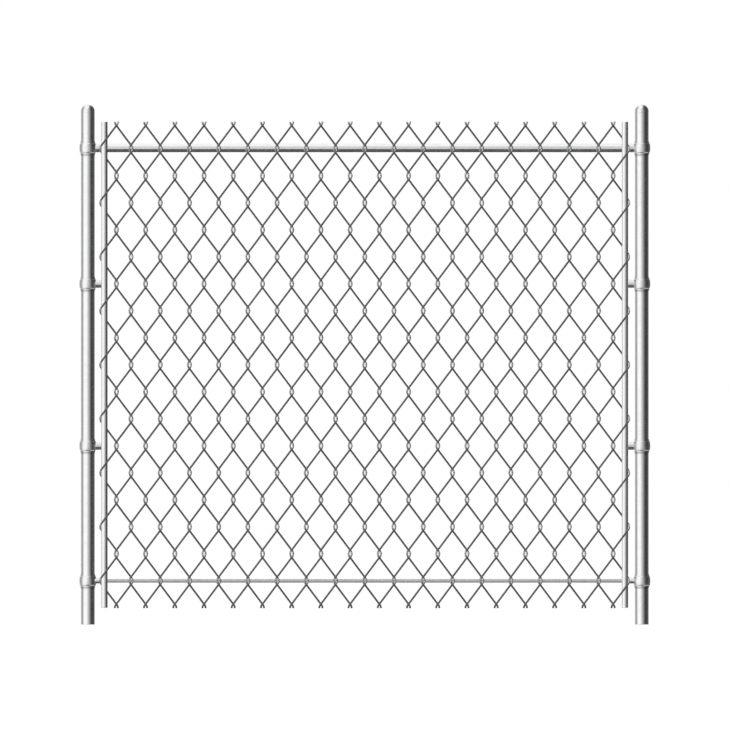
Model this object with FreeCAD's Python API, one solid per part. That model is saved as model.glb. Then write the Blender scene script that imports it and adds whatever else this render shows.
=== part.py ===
import FreeCAD
import Part
import math
import os

# Chain link fence panel: a woven wire fabric stretched between two capped steel posts.
# Millimetres. The origin is the centre of the left post's foot, +X runs to the right post,
# +Y to the back and +Z up. The fabric hangs in front of the top rail and the bottom rod.

# Posts: plain tubes, cut square at the foot and at the head
post_spacing = 1389.6
post_diameter = 34.9
post_wall = 1.8
post_reach = 23.0
ground_gap = 42.0

# Post caps: a dome with a flatter crown over a short rim, and a hollow plug inside the tube
cap_height = 20.0
cap_crown_radius = 40.0
cap_dome_inset = 1.45
cap_plug_depth = 18.0
cap_plug_wall = 1.6

# Woven fabric: upright zigzag wires, each hooked through the next at every bend
fabric_height = 1219.2
wire_diameter = 4.88
usual_diamond_width = 73.3
usual_diamond_height = 135.5
edge_bend_offset = 35.1
eye_half_width = 4.0
eye_half_height = 4.0
weave_clearance = 0.1

# Half-oval tension bars, threaded through the outermost bends of the fabric
bar_width = 15.9
bar_thickness = 4.8
bar_edge_thickness = 0.9

# Top rail and bottom rod, behind the outermost rows of bends; the rail lies a little above its row
rail_diameter = 21.3
rail_wall = 2.0
rail_lift = 2.0
rail_end_offset = 30.0
rod_diameter = 9.2
rod_socket_depth = 8.0

# Post bands: a crowned collar with bevelled skirts, slit at the back
band_height = 34.0
band_crown_height = 21.2
band_bevel_height = 1.6
band_crown_rise = 4.1
band_shoulder_rise = 3.0
band_skirt_rise = 1.6
band_rim_rise = 0.9

# Ears beside the slit, drilled for a clamp bolt
ear_gap = 5.0
ear_thickness = 3.0
ear_height = 19.0
ear_hole_diameter = 6.6
ear_hole_offset = 10.0

# Arms on the bands' inner sides
spigot_length = 25.0
socket_wall = 2.0
arm_diameter = 20.0
arm_pad_diameter = 12.0
arm_end_chamfer = 1.5

# Fits
seat_clearance = 0.3
slide_clearance = 0.2

# Four corners of a wire's side count as flat when they are this close to one plane
flatness = 1e-6

# Worked out from the sizes above
post_radius = post_diameter / 2
wire_radius = wire_diameter / 2
rail_radius = rail_diameter / 2
rod_radius = rod_diameter / 2
fabric_bottom = ground_gap
fabric_top = ground_gap + fabric_height
post_height = fabric_top + post_reach
panel_middle = post_spacing / 2
band_bore_radius = post_radius + slide_clearance
band_crown_radius = post_radius + band_crown_rise
ear_hole_place = band_crown_radius + ear_hole_offset

diamond_rows = round(fabric_height / usual_diamond_height)
diamond_height = fabric_height / diamond_rows
bend_span = post_spacing - 2 * edge_bend_offset
picket_count = 2 * round(bend_span / usual_diamond_width)
picket_spacing = bend_span / picket_count

# Depths: wires cross a hair apart, and spread to clear the tension bar at the edges
weave_depth = wire_radius + weave_clearance / 2
edge_depth = bar_thickness / 2 + seat_clearance + wire_radius
fabric_plane = -(rail_radius + seat_clearance + wire_radius + edge_depth)
rod_plane = rod_radius - rail_radius
bar_outer_edge = edge_bend_offset - eye_half_width + wire_radius + seat_clearance
bar_inner_edge = bar_outer_edge + bar_width
bar_middle = bar_outer_edge + bar_width / 2

# Heights of the four bands on each post
rail_level = fabric_top - diamond_height / 2 + rail_lift
rod_level = fabric_bottom + diamond_height / 2
arm_row = round(diamond_rows / 3)
lower_arm_level = fabric_bottom + arm_row * diamond_height
upper_arm_level = fabric_top - arm_row * diamond_height

ORIGIN = FreeCAD.Vector(0, 0, 0)
ALONG = FreeCAD.Vector(1, 0, 0)
BACK = FreeCAD.Vector(0, 1, 0)
UP = FreeCAD.Vector(0, 0, 1)


def turned(points_and_arcs):
    """Revolve a closed profile about Z. Each item is (radius, height), or an arc's two such points."""
    start = points_and_arcs[0]
    here = FreeCAD.Vector(start[0], 0, start[1])
    first = here
    edges = []
    for item in points_and_arcs[1:]:
        corners = [FreeCAD.Vector(radius, 0, height) for radius, height in as_points(item)]
        if len(corners) == 2:
            edges.append(Part.Arc(here, corners[0], corners[1]).toShape())
        else:
            edges.append(Part.makeLine(here, corners[0]))
        here = corners[-1]
    edges.append(Part.makeLine(here, first))
    return Part.Face(Part.Wire(edges)).revolve(ORIGIN, UP, 360)


def as_points(item):
    """The points of a profile item: one for a line's end, two for an arc's middle and end."""
    return item if isinstance(item[0], tuple) else (item,)


def mirrored(shape):
    """The same piece on the right post."""
    return shape.mirror(FreeCAD.Vector(panel_middle, 0, 0), ALONG)


def post():
    """A tube from the ground to the underside of its cap."""
    outside = Part.makeCylinder(post_radius, post_height)
    return outside.cut(Part.makeCylinder(post_radius - post_wall, post_height))


def post_cap():
    """A domed cap, flush with the tube and hollow inside, on a plug that drops into the tube."""
    dome_radius = post_radius - cap_dome_inset
    crown_centre = cap_height - cap_crown_radius
    reach = cap_crown_radius - dome_radius
    dome_centre = crown_centre + math.sqrt(reach ** 2 - cap_dome_inset ** 2)
    lean = math.asin(cap_dome_inset / reach)
    half = (math.pi / 2 - lean) / 2
    meet = (cap_crown_radius * math.sin(lean), crown_centre + cap_crown_radius * math.cos(lean))
    flank = (cap_dome_inset + dome_radius * math.cos(half), dome_centre + dome_radius * math.sin(half))
    crown = (cap_crown_radius * math.sin(lean / 2), crown_centre + cap_crown_radius * math.cos(lean / 2))
    plug = post_radius - post_wall - seat_clearance
    hollow = plug - cap_plug_wall
    hollow_radius = hollow - cap_dome_inset
    ceiling = dome_centre + hollow_radius
    slant = hollow_radius * math.sqrt(0.5)
    hollow_flank = (cap_dome_inset + slant, dome_centre + slant)
    cap = turned([
        (0, ceiling),
        (cap_dome_inset, ceiling),
        (hollow_flank, (hollow, dome_centre)),
        (hollow, -cap_plug_depth),
        (plug, -cap_plug_depth),
        (plug, 0),
        (post_radius, 0),
        (post_radius, dome_centre),
        (flank, meet),
        (crown, (0, cap_height)),
    ])
    cap.translate(UP * post_height)
    return cap


def collar():
    """The ring of a band, level with the origin: bevelled skirts and a crowned middle."""
    half = band_height / 2
    shoulder = band_crown_height / 2
    skirt = shoulder + band_bevel_height
    return turned([
        (band_bore_radius, -half),
        (post_radius + band_rim_rise, -half),
        (post_radius + band_skirt_rise, -skirt),
        (post_radius + band_shoulder_rise, -shoulder),
        ((band_crown_radius, 0), (post_radius + band_shoulder_rise, shoulder)),
        (post_radius + band_skirt_rise, skirt),
        (post_radius + band_rim_rise, half),
        (band_bore_radius, half),
    ])


def ears():
    """Two round-ended ears that stand back from the collar on either side of its slit."""
    half = ear_height / 2
    low = FreeCAD.Vector(0, post_radius, -half)
    low_end = FreeCAD.Vector(0, ear_hole_place, -half)
    tip = FreeCAD.Vector(0, ear_hole_place + half, 0)
    high_end = FreeCAD.Vector(0, ear_hole_place, half)
    high = FreeCAD.Vector(0, post_radius, half)
    outline = Part.Wire([
        Part.makeLine(low, low_end),
        Part.Arc(low_end, tip, high_end).toShape(),
        Part.makeLine(high_end, high),
        Part.makeLine(high, low),
    ])
    span = ear_gap + 2 * ear_thickness
    block = Part.Face(outline).extrude(ALONG * span)
    block.translate(ALONG * (-span / 2))
    hole_start = FreeCAD.Vector(-span, ear_hole_place, 0)
    return block.cut(Part.makeCylinder(ear_hole_diameter / 2, 2 * span, hole_start, ALONG))


def band(arm, level):
    """A collar, its ears and its arm in one piece, slit at the back and bored for the post."""
    solid = collar().fuse([ears(), arm])
    slit_corner = FreeCAD.Vector(-ear_gap / 2, 0, -band_height)
    slit = Part.makeBox(ear_gap, 2 * ear_hole_place, 2 * band_height, slit_corner)
    bore = Part.makeCylinder(band_bore_radius, 2 * band_height, -UP * band_height)
    solid = solid.cut([slit, bore]).removeSplitter()
    solid.translate(UP * level)
    return solid


def round_arm(radius, start, end, depth=0.0):
    """A round bar along X, at a depth behind the post's axis."""
    return Part.makeCylinder(radius, end - start, FreeCAD.Vector(start, depth, 0), ALONG)


def rail_arm():
    """An arm as thick as the rail, with a spigot that enters the rail's bore."""
    spigot = round_arm(rail_radius - rail_wall - slide_clearance, 0, rail_end_offset + spigot_length)
    return round_arm(rail_radius, 0, rail_end_offset - seat_clearance).fuse(spigot)


def rod_arm():
    """A short arm with a blind socket for the end of the bottom rod."""
    arm = round_arm(rod_radius + socket_wall, post_radius / 2, rail_end_offset, rod_plane)
    floor = rail_end_offset - rod_socket_depth - seat_clearance
    return arm.cut(round_arm(rod_radius + slide_clearance, floor, 2 * rail_end_offset, rod_plane))


def bar_arm():
    """A round arm that passes behind the tension bar, with a pad forward to the bar's back."""
    end = bar_middle + arm_pad_diameter / 2
    arm = round_arm(arm_diameter / 2, 0, end)
    rim = [edge for edge in arm.Edges if edge.Closed and edge.CenterOfMass.x > bar_middle]
    arm = arm.makeChamfer(arm_end_chamfer, rim)
    pad_length = -(fabric_plane + bar_thickness / 2 + seat_clearance)
    pad_start = FreeCAD.Vector(bar_middle, 0, 0)
    return arm.fuse(Part.makeCylinder(arm_pad_diameter / 2, pad_length, pad_start, -BACK))


def top_rail():
    """A tube between the top bands, slid over their spigots."""
    length = post_spacing - 2 * rail_end_offset
    start = FreeCAD.Vector(rail_end_offset, 0, rail_level)
    outside = Part.makeCylinder(rail_radius, length, start, ALONG)
    return outside.cut(Part.makeCylinder(rail_radius - rail_wall, length, start, ALONG))


def bottom_rod():
    """A solid rod whose ends sit in the sockets of the bottom bands."""
    start = rail_end_offset - rod_socket_depth
    rod = round_arm(rod_radius, start, post_spacing - start, rod_plane)
    rod.translate(UP * rod_level)
    return rod


def tension_bar():
    """A half-oval bar, as tall as the fabric: flat behind and crowned in front."""
    back = fabric_plane + bar_thickness / 2
    shoulder = back - bar_edge_thickness
    crown = fabric_plane - bar_thickness / 2
    outer_back = FreeCAD.Vector(bar_outer_edge, back, fabric_bottom)
    outer_shoulder = FreeCAD.Vector(bar_outer_edge, shoulder, fabric_bottom)
    crown_middle = FreeCAD.Vector(bar_middle, crown, fabric_bottom)
    inner_shoulder = FreeCAD.Vector(bar_inner_edge, shoulder, fabric_bottom)
    inner_back = FreeCAD.Vector(bar_inner_edge, back, fabric_bottom)
    section = Part.Wire([
        Part.makeLine(outer_back, outer_shoulder),
        Part.Arc(outer_shoulder, crown_middle, inner_shoulder).toShape(),
        Part.makeLine(inner_shoulder, inner_back),
        Part.makeLine(inner_back, outer_back),
    ])
    return Part.Face(section).extrude(UP * fabric_height)


def bend_column(number):
    """Place along X of a column of bends, counted from the left post."""
    return edge_bend_offset + number * picket_spacing


def picket_path(number):
    """Corner points of one upright wire, from its bottom end to its top end.

    The wire climbs in front towards the right, turns back round the right bend, climbs behind
    towards the left and comes forward again round the left bend. Both of its ends are at bends.
    """
    last = 2 * diamond_rows
    points = []
    for turn in range(last + 1):
        on_right = (turn + number) % 2 == 0
        column = number + 1 if on_right else number
        outward = eye_half_width if on_right else -eye_half_width
        on_edge = column in (0, picket_count)
        depth = edge_depth if on_edge else weave_depth
        depth = depth if on_right else -depth
        level = fabric_bottom + turn * diamond_height / 2
        x = bend_column(column) + outward
        below = FreeCAD.Vector(x, fabric_plane - depth, level - eye_half_height)
        middle = FreeCAD.Vector(x, fabric_plane, level)
        above = FreeCAD.Vector(x, fabric_plane + depth, level + eye_half_height)
        if turn == 0:
            points += [middle, above]
        elif turn == last:
            points += [below, middle]
        else:
            points += [below, above]
    return points


def eased_path(number):
    """The path of a wire, held clear of the tension bar across its whole width at the edges."""
    points = picket_path(number)
    if number not in (0, picket_count - 1):
        return points
    clear_of_bar = bar_inner_edge + wire_diameter
    if number:
        clear_of_bar = post_spacing - clear_of_bar
    eased = [points[0]]
    for start, end in zip(points, points[1:]):
        crosses = (start.x - clear_of_bar) * (end.x - clear_of_bar) < 0
        if crosses:
            outer = max(start, end, key=lambda point: abs(point.x - panel_middle))
            share = (clear_of_bar - start.x) / (end.x - start.x)
            knee = start + (end - start) * share
            knee.y = outer.y
            eased.append(knee)
        eased.append(end)
    return eased


def wire_corners(centre, along, cut):
    """Corners of the wire's square section at a point, slid along the wire on to a cutting plane."""
    half = wire_diameter * math.sqrt(math.pi) / 4
    side = (ALONG - along * along.dot(ALONG)).normalize()
    deep = side.cross(along)
    corners = []
    for sideways, backward in ((1, 1), (1, -1), (-1, -1), (-1, 1)):
        corner = centre + side * (half * sideways) - deep * (half * backward)
        corners.append(corner + along * ((centre - corner).dot(cut) / along.dot(cut)))
    return corners


def wire_rings(points):
    """The section at every corner of a path, cut where two runs meet and square at the ends."""
    runs = [(end - start).normalize() for start, end in zip(points, points[1:])]
    rings = [wire_corners(points[0], runs[0], runs[0])]
    for place, before, after in zip(points[1:], runs, runs[1:]):
        longest = max(before, after, key=lambda run: abs(run.x))
        rings.append(wire_corners(place, longest, before + after))
    rings.append(wire_corners(points[-1], runs[-1], runs[-1]))
    return rings


def flat_face(corners):
    """One flat face through the given corners."""
    return Part.Face(Part.makePolygon(corners + corners[:1]))


def wire_side(corners):
    """One side of a run of wire: a flat face, or two triangles where the run twists."""
    across = (corners[1] - corners[0]).cross(corners[2] - corners[0]).normalize()
    if abs((corners[3] - corners[0]).dot(across)) < flatness:
        return [flat_face(corners)]
    return [flat_face(corners[:3]), flat_face([corners[0], corners[2], corners[3]])]


def picket(number):
    """One upright wire of the fabric, with a square section of the round wire's area."""
    rings = wire_rings(eased_path(number))
    faces = [flat_face(rings[0]), flat_face(rings[-1])]
    for low, high in zip(rings, rings[1:]):
        for side in range(4):
            after = (side + 1) % 4
            faces += wire_side([low[side], low[after], high[after], high[side]])
    solid = Part.Solid(Part.Shell(faces))
    return solid if solid.Volume > 0 else solid.reversed()


def chain_link_fabric():
    """All the upright wires: two inner patterns repeated in turn between the two edge wires."""
    last = picket_count - 1
    wires = [picket(0)]
    patterns = {1: picket(1), 2: picket(2)}
    for number in range(1, last):
        pattern = 2 - number % 2
        wire = patterns[pattern].copy()
        wire.translate(ALONG * ((number - pattern) * picket_spacing))
        wires.append(wire)
    wires.append(picket(last))
    return Part.makeCompound(wires)


def left_pieces():
    """The pieces that stand on the left post, by name."""
    return {
        "post": post(),
        "post_cap": post_cap(),
        "top_rail_band": band(rail_arm(), rail_level),
        "upper_tension_band": band(bar_arm(), upper_arm_level),
        "lower_tension_band": band(bar_arm(), lower_arm_level),
        "bottom_rod_band": band(rod_arm(), rod_level),
        "tension_bar": tension_bar(),
    }


def main():
    """Build every piece and write each one to its own file."""
    pieces = {
        "top_rail": top_rail(),
        "bottom_rod": bottom_rod(),
        "chain_link_fabric": chain_link_fabric(),
    }
    for name, shape in left_pieces().items():
        pieces["left_" + name] = shape
        pieces["right_" + name] = mirrored(shape)
    os.makedirs("parts", exist_ok=True)
    for name, shape in pieces.items():
        shape.exportStep("parts/" + name + ".step")
        print(name, len(shape.Solids), shape.isValid(), round(shape.Volume))


main()
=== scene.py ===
import logging
import math
from dataclasses import dataclass
from enum import Enum
from typing import Callable, Sequence

import bmesh
import bpy
from bmesh.types import BMesh, BMVert
from bpy.types import ID, Material, Mesh, Node, NodeOutputs, NodeTree, Object, World
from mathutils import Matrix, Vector


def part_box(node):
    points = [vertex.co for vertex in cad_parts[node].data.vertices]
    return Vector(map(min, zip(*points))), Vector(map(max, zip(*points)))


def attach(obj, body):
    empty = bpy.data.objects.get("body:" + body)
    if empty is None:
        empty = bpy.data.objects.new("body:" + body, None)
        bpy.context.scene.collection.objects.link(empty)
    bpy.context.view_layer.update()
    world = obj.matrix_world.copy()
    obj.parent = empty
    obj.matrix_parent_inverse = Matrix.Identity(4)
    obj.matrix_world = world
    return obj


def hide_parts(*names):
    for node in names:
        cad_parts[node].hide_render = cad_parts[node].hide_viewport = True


# A chain link fence panel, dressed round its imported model. Metres: +X runs along the panel to the
# right post, +Y to the back and +Z up, with the origin under the left post.
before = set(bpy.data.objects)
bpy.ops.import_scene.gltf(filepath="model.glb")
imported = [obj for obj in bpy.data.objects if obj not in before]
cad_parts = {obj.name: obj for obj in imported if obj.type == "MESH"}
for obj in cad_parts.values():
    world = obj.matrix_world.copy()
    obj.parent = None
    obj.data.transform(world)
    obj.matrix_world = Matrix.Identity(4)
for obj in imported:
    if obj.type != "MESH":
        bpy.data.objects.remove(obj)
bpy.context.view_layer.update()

LOG = logging.getLogger("fence_panel")
BODY = "root"
MM = 0.001
X, Y, Z = range(3)
DIAMOND_ROWS = 9
BAND_ROWS = 4
LEVEL_NAMES = tuple("Level %d" % (row + 1) for row in range(BAND_ROWS))
PICKET_TONE = "picket_tone"

# Edges that turn by more than this stay sharp, and a profile's point this near its axis lies on it
SHARP_EDGE = math.radians(20)
ON_AXIS = 1e-7

# Noise and cell colours lie about this value, and whole numbers are told apart half way between them
NOISE_MIDDLE = 0.5
HALF_STEP = 0.5

# First and last value of a ramp that falls
FALLING = (1.0, 0.0)

Socket = bpy.types.NodeSocket
Box = tuple[Vector, Vector]
Profile = Sequence[tuple[float, float]]


class Slot(Enum):
    """The record's material slots."""

    TUBE = "galvanized_tube"
    FITTING = "band_steel"
    WIRE = "fabric_wire"
    BAR = "bar_steel"


class Side(Enum):
    """The two ends of the panel."""

    LEFT = "left"
    RIGHT = "right"


class Axis(Enum):
    """The direction of a turned piece: which of its offsets across, aside and along is x, y and z."""

    ALONG = (2, 0, 1)
    BACK = (1, 2, 0)
    UP = (0, 1, 2)

    def point(self, across: float, aside: float, along: float) -> Vector:
        """The point at two offsets from the axis and a place along it."""
        offsets = (across, aside, along)
        return Vector([offsets[place] for place in self.value])


def middle(box: Box, axis: int) -> float:
    """Middle of a box along one axis."""
    return (box[0][axis] + box[1][axis]) / 2


def half_reach(box: Box, axis: int) -> float:
    """Half of a box's length along one axis."""
    return (box[1][axis] - box[0][axis]) / 2


def ends(box: Box, axis: int) -> tuple[float, float]:
    """Both ends of a box along one axis."""
    return box[0][axis], box[1][axis]


def grey(tone: float) -> tuple[float, float, float, float]:
    """A grey colour."""
    return tone, tone, tone, 1.0


class NodeSheet:
    """A node tree that is being filled."""

    def __init__(self, tree: NodeTree) -> None:
        """Keep the tree to fill."""
        self.tree = tree

    @classmethod
    def emptied(cls, owner: Material | World) -> "NodeSheet":
        """Start on the nodes of a new material or world.

        Args:
            owner: the material or the world.

        Returns:
            Its node tree, with no node left in it.
        """
        owner.use_nodes = True
        owner.node_tree.nodes.clear()
        return cls(owner.node_tree)

    def add(self, kind: str, inputs: dict | None = None, **options: object) -> Node:
        """Add one node.

        Args:
            kind: the node's type.
            inputs: values or sockets for its inputs, by name or number.
            options: the node's own settings.

        Returns:
            The new node.
        """
        node = self.tree.nodes.new(kind)
        for option, value in options.items():
            setattr(node, option, value)
        for key, value in (inputs or {}).items():
            self.feed(node.inputs[key], value)
        return node

    def result(self, kind: str, inputs: dict | None = None, **options: object) -> Socket:
        """Add one node, and hand its first output back."""
        return self.add(kind, inputs, **options).outputs[0]

    def feed(self, socket: Socket, value: object) -> None:
        """Set an input, or join it to another node's output.

        Args:
            socket: the input.
            value: a plain value, or the output to join.
        """
        if isinstance(value, Socket):
            self.tree.links.new(value, socket)
        else:
            socket.default_value = value

    def math(self, operation: str, *values: object) -> Socket:
        """Do a sum with numbers and sockets, in the order that a Math node takes them."""
        return self.result("ShaderNodeMath", dict(enumerate(values)), operation=operation)

    def vector(self, x: object = 0.0, y: object = 0.0, z: object = 0.0) -> Socket:
        """Join three numbers or sockets to a vector."""
        return self.result("ShaderNodeCombineXYZ", {X: x, Y: y, Z: z})

    def parts(self, vector: Socket) -> NodeOutputs:
        """The three numbers of a vector."""
        return self.add("ShaderNodeSeparateXYZ", {0: vector}).outputs

    def scaled(self, vector: object, factor: object) -> Socket:
        """A vector or colour times a number."""
        return self.result("ShaderNodeVectorMath", {0: vector, "Scale": factor}, operation="SCALE")

    def blend(self, share: Socket, first: object, second: object) -> Socket:
        """Go from the first colour to the second as the share goes from 0 to 1."""
        return self.add("ShaderNodeMix", {0: share, 6: first, 7: second}, data_type="RGBA").outputs[2]

    def draw(self, low: object, high: object, seed: object) -> Socket:
        """Draw a random number between two limits for every point or copy."""
        limits = {2: low, 3: high, "Seed": seed}
        return self.add("FunctionNodeRandomValue", limits, data_type="FLOAT").outputs[1]

    def ramp(
        self, value: Socket, start: object, end: object,
        first: object = 0.0, last: object = 1.0, smooth: bool = False,
    ) -> Socket:
        """Turn a stretch of a value into another one that stays level beyond both ends.

        Args:
            value: the value to read.
            start: where its stretch starts.
            end: where its stretch ends.
            first: the result up to the start.
            last: the result from the end on.
            smooth: whether the result eases in and out.

        Returns:
            The result.
        """
        course = "SMOOTHSTEP" if smooth else "LINEAR"
        given = {0: value, 1: start, 2: end, 3: first, 4: last}
        return self.result("ShaderNodeMapRange", given, interpolation_type=course)

    def declare(self, kind: str, *names: str, default: object = None, output: bool = False) -> None:
        """Give the tree named inputs or outputs of one type.

        Args:
            kind: their type, such as Float or Geometry.
            names: their names.
            default: their value at first.
            output: whether they are outputs.
        """
        for name in names:
            socket = self.tree.interface.new_socket(
                name,
                in_out="OUTPUT" if output else "INPUT",
                socket_type="NodeSocket" + kind,
            )
            if default is not None:
                socket.default_value = default

    def entry(self) -> NodeOutputs:
        """The tree's own inputs, as the sockets that nodes inside it read."""
        return self.add("NodeGroupInput").outputs

    def ending(self, **results: Socket) -> NodeTree:
        """Join the tree's own outputs, and hand the finished tree back."""
        self.add("NodeGroupOutput", results)
        return self.tree


@dataclass(frozen=True)
class PanelPlan:
    """Places and sizes of the panel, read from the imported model."""

    post_x: dict[Side, float]
    post_radius: float
    post_top: float
    rail_radius: float
    rail_level: float
    rail_ends: tuple[float, float]
    rod_radius: float
    rod_depth: float
    rod_level: float
    rod_ends: tuple[float, float]
    arm_levels: tuple[float, ...]
    ear_tip: float
    bar_spans: dict[Side, tuple[float, float]]
    bar_depths: tuple[float, float]
    fabric_bottom: float
    fabric_top: float

    @classmethod
    def read(cls) -> "PanelPlan":
        """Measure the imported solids.

        Returns:
            The plan.
        """
        posts = {side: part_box(side.value + "_post") for side in Side}
        bars = {side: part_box(side.value + "_tension_bar") for side in Side}
        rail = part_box("top_rail")
        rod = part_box("bottom_rod")
        low_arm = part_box("left_lower_tension_band")
        high_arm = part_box("left_upper_tension_band")
        post = posts[Side.LEFT]
        bar = bars[Side.LEFT]
        fabric_bottom, fabric_top = ends(bar, Z)
        return cls(
            post_x={side: middle(box, X) for side, box in posts.items()},
            post_radius=half_reach(post, Y),
            post_top=post[1].z,
            rail_radius=half_reach(rail, Z),
            rail_level=middle(rail, Z),
            rail_ends=ends(rail, X),
            rod_radius=half_reach(rod, Z),
            rod_depth=middle(rod, Y),
            rod_level=middle(rod, Z),
            rod_ends=ends(rod, X),
            arm_levels=(middle(low_arm, Z), middle(high_arm, Z)),
            ear_tip=low_arm[1].y,
            bar_spans={side: ends(box, X) for side, box in bars.items()},
            bar_depths=ends(bar, Y),
            fabric_bottom=fabric_bottom,
            fabric_top=fabric_top,
        )

    @property
    def band_levels(self) -> tuple[float, ...]:
        """Heights of the bands' middles, from the lowest up."""
        return (self.rod_level, *self.arm_levels, self.rail_level)

    @property
    def half_diamond(self) -> float:
        """Height from one row of bends to the next."""
        return (self.fabric_top - self.fabric_bottom) / (2 * DIAMOND_ROWS)


class ZincEffects:
    """Shader groups that every zinc finish shares."""

    # Crystal edges wave: how much finer than the crystals, in what detail, and how far in crystals
    WAVE_FINENESS = 2.0
    WAVE_DETAIL = 2.0
    WAVE_REACH = 0.7

    MARK_DETAIL = 4.0
    PATCH_DETAIL = 5.0
    PATCH_ROUGHNESS = 0.6
    PATCH_START = 0.42
    PATCH_FULL = 0.68

    # How far from its row a bend's painted highlight is full, and where it has faded
    BEND_REACHES = {"Bright Reach": 4.0 * MM, "Fade Reach": 8.0 * MM}

    # How far under a band's middle its painted shade starts, is full, thins out and ends
    PAINTED_SHADE_DEPTHS = {"Start": 12.5 * MM, "Full": 16.5 * MM, "Thin": 17.5 * MM, "End": 22.5 * MM}

    def __init__(self) -> None:
        """Build each group once."""
        self.spangle = self._spangle()
        self.marks = self._marks()
        self.patches = self._patches()
        self.bends = self._bends()
        self.painted_shade = self._painted_shade()

    def _sheet(self, name: str, numbers: dict[str, float], *outputs: str) -> NodeSheet:
        """Start a shader group that reads a place on the surface.

        Args:
            name: the group's name.
            numbers: its number inputs, with their values at first.
            outputs: names of its number outputs.

        Returns:
            The group, ready to fill.
        """
        sheet = NodeSheet(bpy.data.node_groups.new(name, "ShaderNodeTree"))
        sheet.declare("Vector", "Vector")
        for label, default in numbers.items():
            sheet.declare("Float", label, default=default)
        sheet.declare("Float", *outputs, output=True)
        return sheet

    def _spangle(self) -> NodeTree:
        """Zinc crystals: cells that differ a little in tone and in dullness.

        Returns:
            The group, with the outputs Tone, about 1, and Dullness, about 0.
        """
        sheet = self._sheet("zinc_spangle", {"Cells": 90.0, "Contrast": 0.1}, "Tone", "Dullness")
        given = sheet.entry()
        waves = sheet.add("ShaderNodeTexNoise", {
            "Vector": given["Vector"],
            "Scale": sheet.math("MULTIPLY", given["Cells"], self.WAVE_FINENESS),
            "Detail": self.WAVE_DETAIL,
        })
        shift = sheet.scaled(waves.outputs["Color"], sheet.math("DIVIDE", self.WAVE_REACH, given["Cells"]))
        bent = sheet.result("ShaderNodeVectorMath", {0: given["Vector"], 1: shift}, operation="ADD")
        cells = sheet.add("ShaderNodeTexVoronoi", {"Vector": bent, "Scale": given["Cells"]})
        split = sheet.add("ShaderNodeSeparateColor", {0: cells.outputs["Color"]}).outputs
        tone = sheet.math("SUBTRACT", split[0], NOISE_MIDDLE)
        dull = sheet.math("SUBTRACT", split[1], NOISE_MIDDLE)
        return sheet.ending(
            Tone=sheet.math("MULTIPLY_ADD", tone, given["Contrast"], 1.0),
            Dullness=sheet.math("MULTIPLY", dull, given["Contrast"]),
        )

    def _marks(self) -> NodeTree:
        """Fine lines left by drawing or rolling, on coordinates stretched along the piece.

        Returns:
            The group, with the outputs Tone, about 1, and Height.
        """
        sheet = self._sheet("drawing_marks", {"Strength": 0.05}, "Tone", "Height")
        given = sheet.entry()
        lines = sheet.result("ShaderNodeTexNoise", {
            "Vector": given["Vector"], "Scale": 1.0, "Detail": self.MARK_DETAIL,
        })
        level = sheet.math("SUBTRACT", lines, NOISE_MIDDLE)
        tone = sheet.math("MULTIPLY_ADD", level, given["Strength"], 1.0)
        return sheet.ending(Tone=tone, Height=level)

    def _patches(self) -> NodeTree:
        """Dull patches where the zinc has been handled and has weathered.

        Returns:
            The group, with the output Mask, from 0 to 1.
        """
        sheet = self._sheet("handled_patches", {"Size": 0.08}, "Mask")
        given = sheet.entry()
        cloud = sheet.result("ShaderNodeTexNoise", {
            "Vector": given["Vector"],
            "Scale": sheet.math("DIVIDE", 1.0, given["Size"]),
            "Detail": self.PATCH_DETAIL,
            "Roughness": self.PATCH_ROUGHNESS,
        })
        return sheet.ending(Mask=sheet.ramp(cloud, self.PATCH_START, self.PATCH_FULL))

    def _bends(self) -> NodeTree:
        """Rows of bends, lightened as a painted highlight where the wires turn. The lowest row, of cut ends,
        stays dark.

        Returns:
            The group, with the output Mask, 1 at a bend and 0 along the straight wire.
        """
        sheet = self._sheet("painted_bend_highlights", {"First Row": 0.0, "Spacing": 0.07, **self.BEND_REACHES}, "Mask")
        given = sheet.entry()
        above = sheet.math("SUBTRACT", sheet.parts(given["Vector"])[Z], given["First Row"])
        half = sheet.math("DIVIDE", given["Spacing"], 2.0)
        away = sheet.math("PINGPONG", above, half)
        bright = sheet.ramp(away, given["Bright Reach"], given["Fade Reach"], *FALLING, smooth=True)
        hooked = sheet.math("GREATER_THAN", above, half)
        return sheet.ending(Mask=sheet.math("MULTIPLY", bright, hooked))

    def _painted_shade(self) -> NodeTree:
        """Painted shade: a dark line along the lower skirt of each band and just under it, where its shadow
        falls.

        Returns:
            The group, with the output Mask, 1 where the painted shade is darkest.
        """
        sheet = self._sheet("painted_band_shade", {**self.PAINTED_SHADE_DEPTHS, **dict.fromkeys(LEVEL_NAMES, 0.0)}, "Mask")
        given = sheet.entry()
        height = sheet.parts(given["Vector"])[Z]
        mask = 0.0
        for name in LEVEL_NAMES:
            below = sheet.math("SUBTRACT", given[name], height)
            grows = sheet.ramp(below, given["Start"], given["Full"], smooth=True)
            thins = sheet.ramp(below, given["Thin"], given["End"], *FALLING, smooth=True)
            mask = sheet.math("MULTIPLY_ADD", grows, thins, mask)
        return sheet.ending(Mask=mask)


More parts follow.
